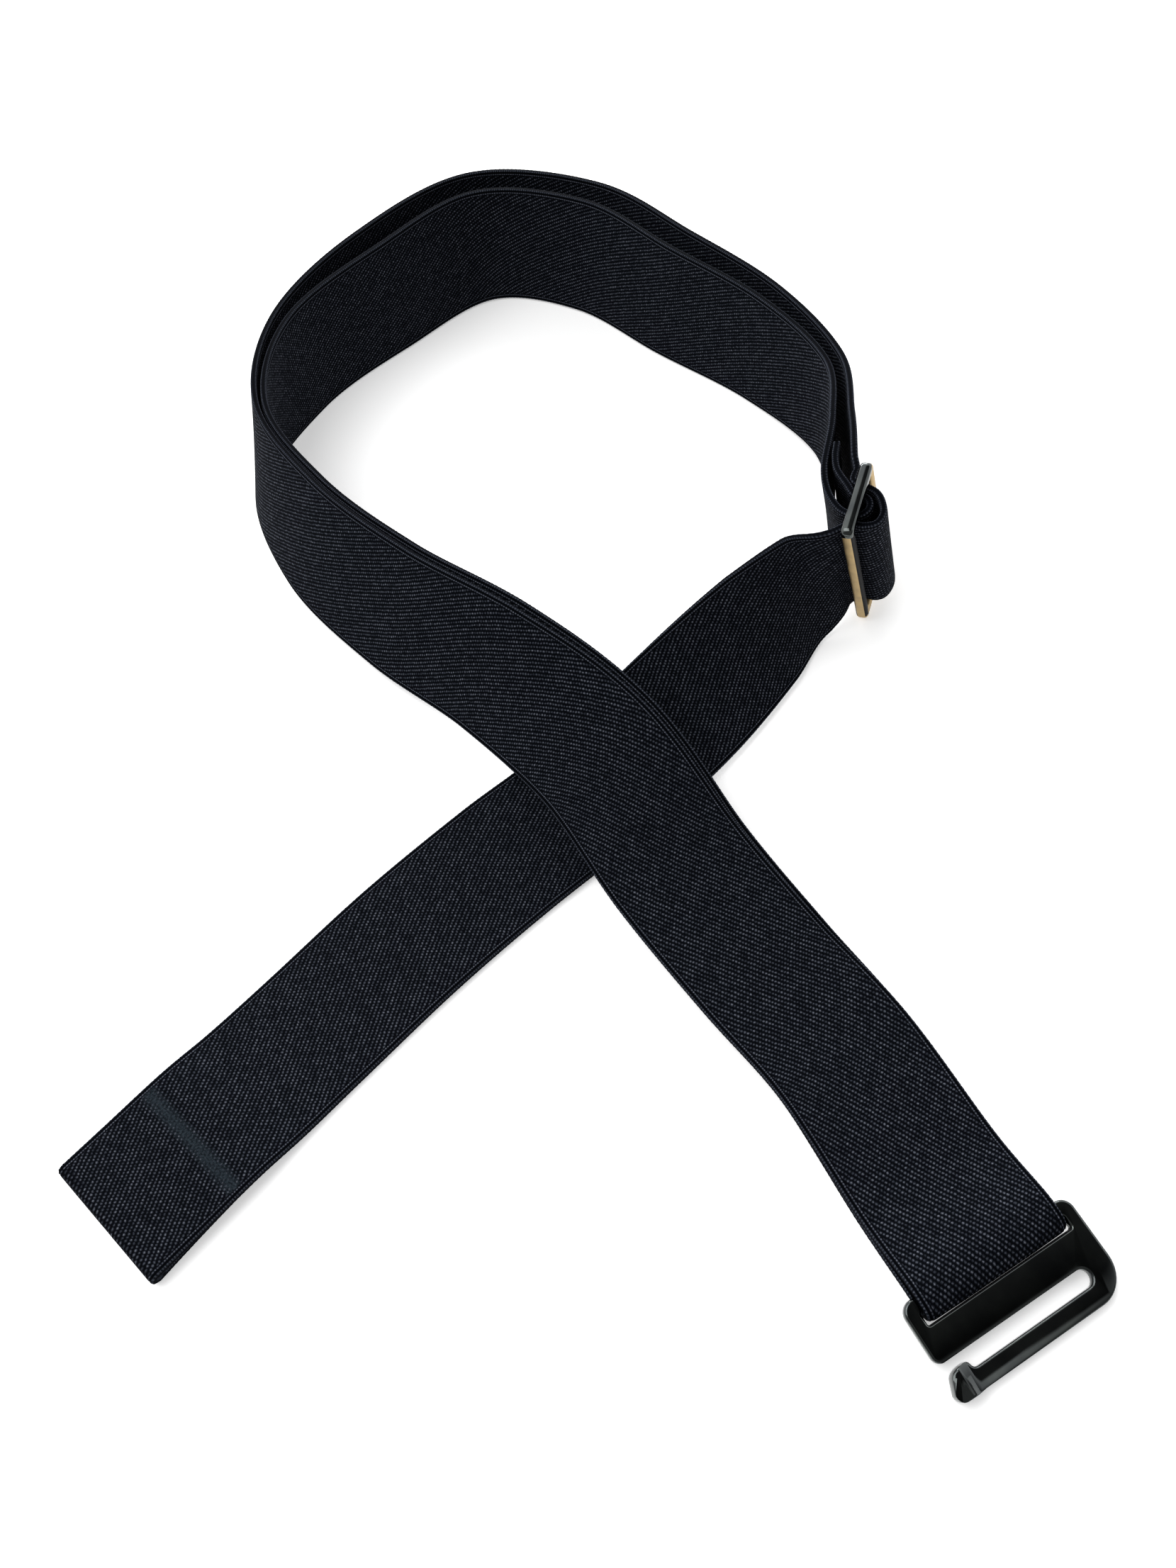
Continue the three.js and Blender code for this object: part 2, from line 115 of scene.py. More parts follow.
# The tail is welded to the inner run. Both places are taken along the webbing from the tail's end, and the
# second is an estimate.
TAIL_WELD = 3.5
TAIL_WELD_INNER = 40.0

# How the webbing comes down to the loop end: distance from the fold as a share of the loop's length, and
# height as a share of a ply.
LOOP_APPROACH = (
    (1.6, 0.3),
    (1.13, 1.0),
)

# The wrap round the slider's centre bar, in degrees from the slider's direction along, and in how many steps.
WRAP_FROM = 186
WRAP_TO = -20
WRAP_STEPS = 7
HALF_TURN_STEPS = 6

# The middle line is first measured in steps of this length, with at least so many between two stations.
FINE_STEP = 0.25
LEAST_STEPS = 4

# across and back as shares of the lay, lean in degrees, apart as a share of the gap, then lift and slip in
# thicknesses: how far the webbing is off the table, and how far the outer run lies back from the inner one.
INNER_RUN = (
    (0.37, -0.3795, 0, 0.04, 0.06, 0),
    (0.3155, -0.2905, 0, 0.02, 0.12, 0.35),
    (0.258, -0.2235, 2, 0.02, 0.15, 0.9),
    (0.192, -0.1485, 8, 0.03, 1.1, 1),
    (0.121, -0.057, 24, 0.05, 2.6, 1),
    (0.018, 0.0245, 43, 0.05, 1.5, 0.95),
    (-0.102, 0.1, 53, 0.04, 0.15, 0.7),
    (-0.206, 0.184, 62, 0.02, 0.07, 0.4),
    (-0.26, 0.28, 75, 0.04, 0.08, 0.15),
    (-0.202, 0.3715, 93, 0.28, 0.05, 0),
    (-0.072, 0.4405, 99, 0.82, 0.05, 0),
    (0.068, 0.491, 103, 0.79, 0.06, 0),
    (0.203, 0.4585, 105, 0.75, 0.05, 0),
    (0.307, 0.381, 102, 0.71, 0.05, 0),
    (0.41, 0.304, 97, 0.48, 0.1, 0),
    (0.472, 0.222, 90, 0.25, 1, 0),
    (0.46, 0.155, 86, 0.3, 2.6, 0),
)
SINGLE_RUN = (
    (0.391, 0.049, 71, 0, 0.13, 0),
    (0.331, 0.0235, 52, 0, 0, 0),
    (0.221, -0.0255, 28, 0, 0, 0),
    (0.108, -0.07, 5, 0, 0.05, 0),
    (-0.01, -0.116, 3, 0, 0.05, 0),
    (-0.123, -0.165, 2, 0, 0.08, 0),
    (-0.234, -0.219, 0, 0, 0.05, 0),
)

# along and out as shares of the slider's pitch, twist in degrees.
INNER_APPROACH = (
    (-0.95, -1.22, 3),
    (-0.3, -0.86, 0),
    (0.17, -0.43, 0),
)
TAIL_ROUTE = (
    (-0.32, -0.17, 0),
    (-0.6, -0.46, 1),
    (-1.05, -0.88, 2),
    (-1.45, -1.06, 3),
    (-1.85, -1.15, 4),
)
OUTER_APPROACH = (
    (-1.5, -0.6, 6),
    (-1.05, -0.34, 1),
    (-0.77, -0.31, 0),
)
LEAVING = (
    (0.92, -0.52, -2),
)

# The bulge over the wrapped bar, as shares of its distance from that bar.
BULGE = (
    (-1.25, -0.3, 0),
    (-1.14, 0.05, 0),
    (-0.84, 0.72, 0),
    (-0.34, 1.08, 0.5),
    (0.3, 1.22, 1.5),
    (0.86, 1.02, 1.5),
    (1.1, 0.5, 0),
    (1.04, -0.1, 0),
)

UP = Vector((0, 0, 1))


def rgb(value):
    """An sRGB hex value as a linear colour."""
    channels = [((value >> shift) & 255) / 255 for shift in (16, 8, 0)]
    return tuple(c / 12.92 if c <= 0.04045 else ((c + 0.055) / 1.055) ** 2.4 for c in channels)


# How a twill row and a stitch rise and fall: shares of the pitch, and how bright the yarn is painted there,
# from painted shade in the groove to a painted highlight on top.
ROW_PROFILE = ((0.0, 0.02), (0.2, 0.3), (0.5, 1.0), (0.8, 0.3), (1.0, 0.02))
STITCH_PROFILE = ((0.0, 0.08), (0.2, 0.62), (0.5, 1.0), (0.8, 0.62), (1.0, 0.08))

# How far the stitches shift from row to row, and by chance, as shares of a stitch. Then how much a yarn's
# brightness differs by chance.
STITCH_STEP = 0.46
STITCH_LUCK = 0.12
YARN_LUCK = 0.42

# The webbing's edge, in millimetres from its middle: the weave ends at a thin cord with a painted highlight,
# then come a groove in painted shade, the corner's cord with a dimmer painted highlight and the edge face
# painted dark as shade. The profiles are shares of this zone.
EDGE_ZONE = (13.0, 15.75)
WEAVE_ENDS = ((0.0, 1.0), (0.18, 0.9), (0.28, 0.0))
CORD_PROFILE = (
    (0.27, 0.0),
    (0.33, 0.95),
    (0.38, 0.95),
    (0.45, 0.03),
    (0.57, 0.03),
    (0.64, 0.8),
    (0.76, 0.7),
    (0.86, 0.2),
    (1.0, 0.06),
)

# How much the beads of a cord differ from its middle brightness, and how uneven a weld's rim is.
BEAD_DEPTH = 0.22
MELT_GRAIN = 0.9

# From painted shade between the yarns to a painted highlight on them. The lightest colour of each finish is a
# property.
YARN_PAINTED_SHADES = (
    (0.0, rgb(0x010204)),
    (0.18, rgb(0x0f1117)),
    (0.45, rgb(0x32363e)),
    (0.7, rgb(0x555861)),
)
WELD_DARK = (0.35, rgb(0x0c1014))
NICKEL_DARK = (0.35, rgb(0x404344))
# Painted shade for the hook plate's slot wall and the slider near bar's flanks.
PAINTED_SHADE_COLOURS = ((0.35, rgb(0x0c0c0d)), (0.7, rgb(0x18181a)))
# The tan painted on the slider as the reflection of a tan table.
TAN_REFLECTION_DARK = (0.3, rgb(0x9e8a66))
SPECK_COLOUR = rgb(0x5c605e)
SPECK_PROFILE = ((0.03, 1.0), (0.06, 0.0))

# The slider's painted tan reflection goes on the end faces of its long bars, all round the back one below its
# top, and all round the foot up to this height.
TAN_REFLECTION_FACING = 0.8
TAN_REFLECTION_FOOT = 4.5
BACK_BAR_TOP = 0.6

# Faces that meet at less than this, in degrees, are shaded as one. The hook plate's bevels stay crisp.
SMOOTH_SLIDER = 35
SMOOTH_HOOK = 25

# The dark card overhead: its direction, and the light at the cosine of the angle to it. The room is brighter
# at the back than at the front, from one share of the way back to the other. Each lamp has its place and size
# in metres and its power in watts.
DARK_CARD = Vector((0.2, 0.12, 0.97))
ROOM_LIGHT = ((0.85, 1.0), (0.9, 0.07))
FRONT_TO_BACK = (-0.35, 0.3)
LAMPS = (
    ("soft box", (-0.4, 0.1, 0.85), 0.7, 0.7, 4.0),
    ("strip behind", (0.0, 0.75, 0.22), 0.6, 0.2, 5.0),
)
TABLE_SIZE = 6

# The camera's place in the lay, its pitch below the level and its roll, and its focal length.
CAMERA_PLACE = Vector((18.0, -163.0, 245.4))
CAMERA_PITCH = 59.43
CAMERA_ROLL = -8.73
CAMERA_LENS = 40.14


def turned(direction, degrees, axis):
    """A direction turned about an axis."""
    return Matrix.Rotation(math.radians(degrees), 3, axis) @ direction


def heading(degrees):
    """A level direction."""
    return turned(Vector((1, 0, 0)), degrees, UP)


def on_lay(across, back):
    """A place on the table, from shares of the lay."""
    return Vector((across * LAY.x, back * LAY.y, 0))


class Slider:
    """The slider's own directions and middle, in the lay."""

    along = heading(SLIDER_HEADING)
    out = UP.cross(along)
    up = turned(UP, SLIDER_LEAN, along)
    out = turned(out, SLIDER_LEAN, along)
    along = turned(along, SLIDER_NOD, out)
    up = turned(up, SLIDER_NOD, out)
    centre = on_lay(*SLIDER_AT)
    centre.z = SLIDER_HIGH / 2 * up.z - SLIDER_LONG / 2 * along.z + SLIDER_THICK / 2 * abs(out.z)


class Hook:
    """The hook plate's own directions and its wrapped bar, in the lay."""

    across = heading(HOOK_HEADING)
    up = turned(UP, HOOK_DROP, across)
    forward = across.cross(up)
    bar = on_lay(*HOOK_AT) + Vector((0, 0, (PLY + HOOK_THICK / 2) / up.z))


def lay_shift():
    """From the lay to the frame: the slider is symmetric, so its box has its middle."""
    low, high = (Vector(corner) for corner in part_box("slider_frame"))
    return (low + high) / 2 / MM - Slider.centre


SHIFT = lay_shift()


def laid(rows, before, after):
    """The stations of a run from its rows. Each is as high as its lean needs, and is then lifted."""
    places = [on_lay(row[0], row[1]) for row in rows]
    line = [before, *places, after]
    stations = []
    for i, (row, place) in enumerate(zip(rows, places)):
        _, _, lean, apart, lift, slip = row
        travel = line[i + 2] - line[i]
        travel.z = 0
        side = travel.normalized().cross(UP)
        lean = math.radians(lean)
        across = side * math.cos(lean) + UP * math.sin(lean)
        place = place.copy()
        place.z = WEB_WIDTH / 2 * math.sin(lean) + WEB_THICK / 2 * abs(math.cos(lean)) + lift * WEB_THICK
        stations.append({
            "place": place,
            "across": across,
            "side": side,
            "lean": lean,
            "gap": apart * RUN_GAP,
            "slip": slip * WEB_THICK,
        })
    return stations


def outer_of(station):
    """The outer run's place and direction beside a station of the inner run."""
    apart = PLY + station["gap"]
    place = station["place"] - station["side"] * apart * math.sin(station["lean"])
    place.z += max(0, apart * math.cos(station["lean"]))
    return place - station["across"] * station["slip"], station["across"]


def at_slider(along, out, twist=0.0):
    """A place beside the slider's centre, and the webbing's direction across."""
    place = Slider.centre + Slider.along * along + Slider.out * out
    return place, turned(Slider.up, -twist, Slider.along)


def round_bar(at, radius, start, end, count):
    """Stations on an arc, in degrees."""
    angles = [math.radians(start + (end - start) * i / count) for i in range(count + 1)]
    return [at(radius * math.cos(angle), radius * math.sin(angle)) for angle in angles]


def webbing_stations():
    """The stations of the webbing's middle line from its tail to its loop end: place and direction across."""
    wrap = CENTRE_BAR / 2 + CLEAR + WEB_THICK / 2
    over = wrap + PLY
    hook_wrap = HOOK_THICK / 2 + CLEAR + WEB_THICK / 2

    def beside(rows, unit):
        return [at_slider(along * unit, out * unit, twist) for along, out, twist in rows]

    def at_hook(forward, up):
        return Hook.bar + Hook.forward * forward + Hook.up * up, Hook.across

    approach = beside(INNER_APPROACH, SLIDER_PITCH)
    inner = laid(INNER_RUN, Hook.bar, approach[0][0])
    fold = on_lay(*LOOP_FOLD)
    single = laid(SINGLE_RUN, Slider.centre, fold)
    inward = (on_lay(*SINGLE_RUN[-1][:2]) - fold).normalized()
    loop_across = -inward.cross(UP)

    def at_loop(distance, up, creep=0.0):
        place = fold + inward * distance + UP * (WEB_THICK / 2 + up)
        return place + loop_across * creep * PLY_CREEP, loop_across

    def round_hook(forward, up):
        return at_hook(forward + (HOOK_BAR - HOOK_THICK) / 2, up)

    def round_fold(back, up):
        return at_loop(WEB_THICK / 2 + radius - back, radius + up)

    radius = PLY / 2
    by_fold = 3 * radius
    return [
        *beside(TAIL_ROUTE, SLIDER_PITCH)[::-1],
        *round_bar(at_slider, wrap, WRAP_FROM, WRAP_TO, WRAP_STEPS),
        *approach[::-1],
        *[(s["place"], s["across"]) for s in inner[::-1]],
        at_hook(-HOOK_BAR, -hook_wrap),
        *round_bar(round_hook, hook_wrap, -90, 90, HALF_TURN_STEPS),
        at_hook(-HOOK_BAR, hook_wrap),
        *[outer_of(s) for s in inner],
        *beside(OUTER_APPROACH, SLIDER_PITCH),
        *beside(BULGE, over),
        *beside(LEAVING, SLIDER_PITCH),
        *[(s["place"], s["across"]) for s in single],
        *[at_loop(distance * LOOP_LENGTH, height * PLY) for distance, height in LOOP_APPROACH],
        at_loop(LOOP_LENGTH / 2, PLY),
        at_loop(by_fold, PLY),
        *round_bar(round_fold, radius, 90, -90, HALF_TURN_STEPS),
        at_loop(by_fold, 0, CREEP_BY_FOLD),
        at_loop(LOOP_LENGTH / 2, 0, CREEP_HALF_WAY),
        at_loop(LOOP_LENGTH, 0, 1),
    ]


def spline(points, centripetal):
    """A smooth curve through the points: a function of the span and the share of it that is passed."""
    ends = [2 * points[0] - points[1], *points, 2 * points[-1] - points[-2]]

    def at(span, share):
        p0, p1, p2, p3 = ends[span:span + 4]
        if centripetal:
            d1 = math.sqrt((p2 - p1).length) or 1
            d0 = math.sqrt((p1 - p0).length) or d1
            d2 = math.sqrt((p3 - p2).length) or d1
            t1 = ((p1 - p0) / d0 - (p2 - p0) / (d0 + d1) + (p2 - p1) / d1) * d1
            t2 = ((p2 - p1) / d1 - (p3 - p1) / (d1 + d2) + (p3 - p2) / d2) * d1
        else:
            t1 = (p2 - p0) / 2
            t2 = (p3 - p1) / 2
        c2 = 3 * (p2 - p1) - 2 * t1 - t2
        c3 = 2 * (p1 - p2) + t1 + t2
        return p1 + (t1 + (c2 + c3 * share) * share) * share

    return at


def webbing_rings(step):
    """Rings every step along the webbing: the length so far, the place, the directions across and through."""
    stations = webbing_stations()
    middle = spline([place for place, _ in stations], True)
    wide = spline([across for _, across in stations], False)
    fine = []
    length = 0.0
    before = middle(0, 0)
    for span in range(len(stations) - 1):
        chord = (stations[span + 1][0] - stations[span][0]).length
        count = max(LEAST_STEPS, math.ceil(chord / FINE_STEP))
        for k in range(count):
            share = k / count
            place = middle(span, share)
            length += (place - before).length
            before = place
            fine.append((length, place, wide(span, share)))
    last = middle(len(stations) - 2, 1)
    length += (last - before).length
    fine.append((length, last, wide(len(stations) - 2, 1)))
    count = round(length / step)
    rings = []
    j = 0
    for i in range(count + 1):
        at = length * i / count
        while j < len(fine) - 2 and fine[j + 1][0] < at:
            j += 1
        (l0, p0, w0), (l1, p1, w1) = fine[j], fine[j + 1]
        share = (at - l0) / max(l1 - l0, 1e-9)
        travel = (p1 - p0).normalized()
        across = w0.lerp(w1, share)
        across = (across - travel * across.dot(travel)).normalized()
        rings.append((at, p0.lerp(p1, share), across, travel.cross(across)))
    return rings, length


def add_node(tree, kind, links=None, stops=None, **settings):
    """A node with its settings and colour stops, whose colour may be one number for a grey.
    A link is given as input: (node, output), and a value as input: value."""
    node = tree.nodes.new(kind)
    for name, value in settings.items():
        setattr(node, name, value)
    for key, value in (links or {}).items():
        if isinstance(value, tuple) and isinstance(value[0], bpy.types.Node):
            tree.links.new(value[0].outputs[value[1]], node.inputs[key])
        else:
            node.inputs[key].default_value = value
    if stops:
        elements = node.color_ramp.elements
        while len(elements) < len(stops):
            elements.new(0.5)
        for element, (position, colour) in zip(elements, stops):
            element.position = position
            shade = (colour,) * 3 if isinstance(colour, float) else colour
            element.color = (*shade, 1)
    return node


def new_material(name):
    """An empty node material and its tree."""
    material = bpy.data.materials.new(name)
    material.use_nodes = True
    material.node_tree.nodes.clear()
    return material, material.node_tree


def webbing_material(props):
    """Woven elastic: black polyester yarn over rubber. It is matte, and its twill shows as rows of short
    stitches, with a painted highlight on each yarn and painted shade between them. The welded bands are
    pressed flat and lose the rows. The map is in millimetres, so each Scale is in features per millimetre."""
    material, tree = new_material("woven polyester elastic")
    math_kind = "ShaderNodeMath"
    row_pitch = props.row_pitch / MM
    stitch_pitch = props.stitch_pitch / MM
    angle = props.twill_angle
    uv = add_node(tree, "ShaderNodeUVMap", uv_map="Weave")
    true_place = add_node(tree, "ShaderNodeSeparateXYZ", {0: (uv, 0)})

    # The yarns wander by a few tenths of a millimetre, so the rows are never quite straight.
    drift = add_node(tree, "ShaderNodeTexNoise", {
        "Vector": (uv, 0), "Scale": 0.7, "Detail": 3.0, "Roughness": 0.6,
    })
    wander = props.yarn_drift / MM
    woven_place = add_node(tree, "ShaderNodeVectorMath", {
        0: (drift, 1), 1: (wander, wander, 0), 2: (uv, 0),
    }, operation="MULTIPLY_ADD")
    split = add_node(tree, "ShaderNodeSeparateXYZ", {0: (woven_place, 0)})

    # Rows of the twill, and the stitches along each row.
    row_along = add_node(tree, math_kind, {
        0: (split, 1), 1: -math.sin(angle) / row_pitch,
    }, operation="MULTIPLY")
    row = add_node(tree, math_kind, {
        0: (split, 0), 1: math.cos(angle) / row_pitch, 2: (row_along, 0),
    }, operation="MULTIPLY_ADD")
    row_number = add_node(tree, math_kind, {0: (row, 0)}, operation="FLOOR")
    row_share = add_node(tree, math_kind, {0: (row, 0)}, operation="FRACT")
    row_luck = add_node(tree, "ShaderNodeTexWhiteNoise", {"W": (row_number, 0)}, noise_dimensions="1D")
    stitch_along = add_node(tree, math_kind, {
        0: (split, 1), 1: math.cos(angle) / stitch_pitch,
    }, operation="MULTIPLY")
    stitch_across = add_node(tree, math_kind, {
        0: (split, 0), 1: math.sin(angle) / stitch_pitch, 2: (stitch_along, 0),
    }, operation="MULTIPLY_ADD")
    stitch_step = add_node(tree, math_kind, {
        0: (row_number, 0), 1: STITCH_STEP, 2: (stitch_across, 0),
    }, operation="MULTIPLY_ADD")
    stitch = add_node(tree, math_kind, {
        0: (row_luck, 0), 1: STITCH_LUCK, 2: (stitch_step, 0),
    }, operation="MULTIPLY_ADD")
    stitch_number = add_node(tree, math_kind, {0: (stitch, 0)}, operation="FLOOR")
    stitch_share = add_node(tree, math_kind, {0: (stitch, 0)}, operation="FRACT")
    # The row and stitch profiles paint a highlight on each yarn and shade between the yarns, and give the
    # bump its height.
    row_profile = add_node(tree, "ShaderNodeValToRGB", {0: (row_share, 0)}, stops=ROW_PROFILE)
    stitch_profile = add_node(tree, "ShaderNodeValToRGB", {0: (stitch_share, 0)}, stops=STITCH_PROFILE)
    yarn = add_node(tree, math_kind, {0: (row_profile, 0), 1: (stitch_profile, 0)}, operation="MULTIPLY")
    cell = add_node(tree, "ShaderNodeCombineXYZ", {0: (row_number, 0), 1: (stitch_number, 0)})
    luck = add_node(tree, "ShaderNodeTexWhiteNoise", {"Vector": (cell, 0)}, noise_dimensions="2D")
    fibre = add_node(tree, "ShaderNodeTexNoise", {"Vector": (uv, 0), "Scale": 3.2, "Detail": 2.0})
    uneven = add_node(tree, math_kind, {0: (luck, 0), 1: YARN_LUCK, 2: (fibre, 0)}, operation="MULTIPLY_ADD")
    weave = add_node(tree, math_kind, {0: (yarn, 0), 1: (uneven, 0)}, operation="MULTIPLY")

    # The edge: the weave ends at a thin cord of fine stitches with a painted highlight, a dimmer highlighted
    # cord runs along the corner, and the groove and edge face are painted dark as shade.
    from_middle = add_node(tree, math_kind, {0: (true_place, 0)}, operation="ABSOLUTE")
    zone = add_node(tree, "ShaderNodeMapRange", {
        "Value": (from_middle, 0), "From Min": EDGE_ZONE[0], "From Max": EDGE_ZONE[1],
    })
    inside = add_node(tree, "ShaderNodeValToRGB", {0: (zone, 0)}, stops=WEAVE_ENDS)
    cord = add_node(tree, "ShaderNodeValToRGB", {0: (zone, 0)}, stops=CORD_PROFILE)
    beads = add_node(tree, math_kind, {
        0: (true_place, 1), 1: 2 * math.pi * MM / props.cord_pitch, 2: (fibre, 0),
    }, operation="MULTIPLY_ADD")
    bead_wave = add_node(tree, math_kind, {0: (beads, 0)}, operation="SINE")
    bead = add_node(tree, math_kind, {
        0: (bead_wave, 0), 1: BEAD_DEPTH, 2: (fibre, 0),
    }, operation="MULTIPLY_ADD")
    edge = add_node(tree, math_kind, {0: (cord, 0), 1: (bead, 0)}, operation="MULTIPLY")
    woven = add_node(tree, math_kind, {
        0: (weave, 0), 1: (inside, 0), 2: (edge, 0),
    }, operation="MULTIPLY_ADD")

    # The welded bands, from the mesh: their edge is uneven, because the yarns melt one by one.
    band = add_node(tree, "ShaderNodeAttribute", attribute_name="weld")
    grain = add_node(tree, "ShaderNodeTexNoise", {
        "Vector": (uv, 0), "Scale": 2.4, "Detail": 4.0, "Roughness": 0.7,
    })
    melt = add_node(tree, math_kind, {0: (grain, 0), 1: MELT_GRAIN, 2: (band, 2)}, operation="MULTIPLY_ADD")
    welded = add_node(tree, "ShaderNodeMapRange", {
        "Value": (melt, 0), "From Min": 0.7, "From Max": 1.4, "To Max": 0.88,
    })
    # The yarn's ramp runs from painted shade to the painted highlight.
    yarn_stops = (*YARN_PAINTED_SHADES, (1.0, props.yarn_painted_highlight))
    weld_stops = (WELD_DARK, (0.68, props.weld_colour))
    woven_colour = add_node(tree, "ShaderNodeValToRGB", {0: (woven, 0)}, stops=yarn_stops)
    weld_colour = add_node(tree, "ShaderNodeValToRGB", {0: (grain, 0)}, stops=weld_stops)
    colour = add_node(tree, "ShaderNodeMix", {
        0: (welded, 0), 6: (woven_colour, 0), 7: (weld_colour, 0),
    }, data_type="RGBA")
    height = add_node(tree, "ShaderNodeMix", {0: (welded, 0), 2: (woven, 0), 3: (grain, 0)})
    bump = add_node(tree, "ShaderNodeBump", {"Height": (height, 0), "Strength": 0.6, "Distance": 0.15 * MM})
    shader = add_node(tree, "ShaderNodeBsdfPrincipled", {
        "Base Color": (colour, 2), "Normal": (bump, 0), "Roughness": 0.85, "Specular IOR Level": 0.02,
    })
    add_node(tree, "ShaderNodeOutputMaterial", {0: (shader, 0)})
    return material


def black_nickel(props):
    """Black nickel plate over a polished plate: a dark mirror, so its flats take the dark of the room and its
    rounded edges catch the lamps as thin lines. Handling leaves faint specks and a little haze."""
    material, tree = new_material("polished black nickel plate")
    place = add_node(tree, "ShaderNodeTexCoord")
    haze = add_node(tree, "ShaderNodeTexNoise", {"Vector": (place, 3), "Scale": 1 / (5 * MM), "Detail": 5.0})
    stops = (NICKEL_DARK, (0.7, props.nickel_colour))
    speck = add_node(tree, "ShaderNodeTexVoronoi", {"Vector": (place, 3), "Scale": 1 / (1.1 * MM)})
    colour = add_node(tree, "ShaderNodeValToRGB", {0: (haze, 0)}, stops=stops)
    dust = add_node(tree, "ShaderNodeValToRGB", {0: (speck, 0)}, stops=SPECK_PROFILE)
    marked = add_node(tree, "ShaderNodeMix", {
        0: (dust, 0), 6: (colour, 0), 7: (*SPECK_COLOUR, 1),
    }, data_type="RGBA")
    rough = add_node(tree, "ShaderNodeMapRange", {
        "Value": (haze, 0), "From Min": 0.35, "From Max": 0.7, "To Min": 0.05, "To Max": 0.12,
    })
    bump = add_node(tree, "ShaderNodeBump", {
        "Height": (haze, 0), "Strength": 0.08, "Distance": 0.05 * MM,
    })
    shader = add_node(tree, "ShaderNodeBsdfPrincipled", {
        "Base Color": (marked, 2), "Roughness": (rough, 0), "Normal": (bump, 0), "Metallic": 1.0,
    })
    add_node(tree, "ShaderNodeOutputMaterial", {0: (shader, 0)})
    return material


def painted_shade_metal():
    """Dark matte metal painted as shade on the hook plate's closed slot and on the flanks of the slider's
    near bar: almost without shine, so these narrow faces stay dark beside the webbing."""
    material, tree = new_material("dark metal painted as shade")
    place = add_node(tree, "ShaderNodeTexCoord")
    grain = add_node(tree, "ShaderNodeTexNoise", {
        "Vector": (place, 3), "Scale": 1 / (0.4 * MM), "Detail": 3.0,
    })
    colour = add_node(tree, "ShaderNodeValToRGB", {0: (grain, 0)}, stops=PAINTED_SHADE_COLOURS)
    bump = add_node(tree, "ShaderNodeBump", {
        "Height": (grain, 0), "Strength": 0.3, "Distance": 0.03 * MM,
    })
    shader = add_node(tree, "ShaderNodeBsdfPrincipled", {
        "Base Color": (colour, 0), "Normal": (bump, 0), "Roughness": 0.6, "Specular IOR Level": 0.1,
    })
    add_node(tree, "ShaderNodeOutputMaterial", {0: (shader, 0)})
    return material


def tan_reflection_paint(props):
    """Tan metal painted on the slider as the reflection of a tan table: a dull tan with a fine, even grain
    and faint stains.
    """
    material, tree = new_material("metal painted with a tan reflection")
    place = add_node(tree, "ShaderNodeTexCoord")
    stain = add_node(tree, "ShaderNodeTexNoise", {
        "Vector": (place, 3), "Scale": 1 / (2.5 * MM), "Detail": 4.0,
    })
    grain = add_node(tree, "ShaderNodeTexNoise", {
        "Vector": (place, 3), "Scale": 1 / (0.25 * MM), "Detail": 2.0,
    })
    stops = (TAN_REFLECTION_DARK, (0.7, props.tan_reflection_colour))
    colour = add_node(tree, "ShaderNodeValToRGB", {0: (stain, 0)}, stops=stops)
    rough = add_node(tree, "ShaderNodeMapRange", {
        "Value": (stain, 0), "From Min": 0.3, "From Max": 0.7, "To Min": 0.42, "To Max": 0.6,
    })
    bump = add_node(tree, "ShaderNodeBump", {
        "Height": (grain, 0), "Strength": 0.25, "Distance": 0.03 * MM,
    })
    shader = add_node(tree, "ShaderNodeBsdfPrincipled", {
        "Base Color": (colour, 0), "Roughness": (rough, 0), "Normal": (bump, 0), "Metallic": 1.0,
    })
    add_node(tree, "ShaderNodeOutputMaterial", {0: (shader, 0)})
    return material


def link_mesh(name, mesh, materials):
    """A piece from a finished mesh, with its materials."""
    piece = bpy.data.objects.new(name, mesh)
    bpy.context.scene.collection.objects.link(piece)
    for material in materials:
        mesh.materials.append(material)
    return piece


# Half of the webbing's section, from its middle to the middle of its edge face: shares of the half width and
# of the half thickness, and the pattern's own distance across, in millimetres.
HALF_SECTION = (
    (0.0, 1.0, 0.0),
    (0.5, 1.0, 7.5),
    (0.9, 1.0, 13.5),
    (0.93, 1.0, 13.95),
    (0.95, 0.9, 14.3),
    (0.975, 0.95, 14.65),
    (0.994, 0.78, 15.0),
    (1.0, 0.42, 15.35),
    (0.994, 0.0, 15.75),
)

# Every second ring is drawn in by this much at the edge face, from this share of the half width outwards, so
# that the edge shows the loops of its yarn. The welds stay inside the edge cords.
EDGE_NOTCH = 0.05
NOTCH_FROM = 0.98
WELD_WITHIN = 0.93


def webbing_section():
    """The whole section, once round: share across, share through and the pattern's distance across."""
    upper_left = [(-a, t, -u) for a, t, u in HALF_SECTION[:0:-1]]
    lower_right = [(a, -t, -u) for a, t, u in HALF_SECTION[-2::-1]]
    lower_left = [(-a, -t, u) for a, t, u in HALF_SECTION[1:-1]]
    return [*upper_left, *HALF_SECTION, *lower_right, *lower_left]


def weld_places(length):
    """Where the four welded faces are, in millimetres from the tail's end: two plies at each weld."""
    folded = length - LOOP_LENGTH + WELD_FROM_FOLD
    over = length - LOOP_LENGTH - math.pi * PLY / 2 - WELD_FROM_FOLD
    return TAIL_WELD, TAIL_WELD_INNER, over, folded


def slot_fill(place, thick, a, t):
    """How far a point of the webbing swells forward in the hook plate's closed slot."""
    from_bar = place - Hook.bar
    from_bar -= Hook.across * from_bar.dot(Hook.across)
    if from_bar.length >= SLOT_FILL_WITHIN or not t:
        return 0.0
    ahead = max(0.0, math.copysign(1, t) * thick.dot(Hook.forward))
    return SLOT_FILL * ahead ** 2 * (1 - abs(a) ** SLOT_FILL_POWER)


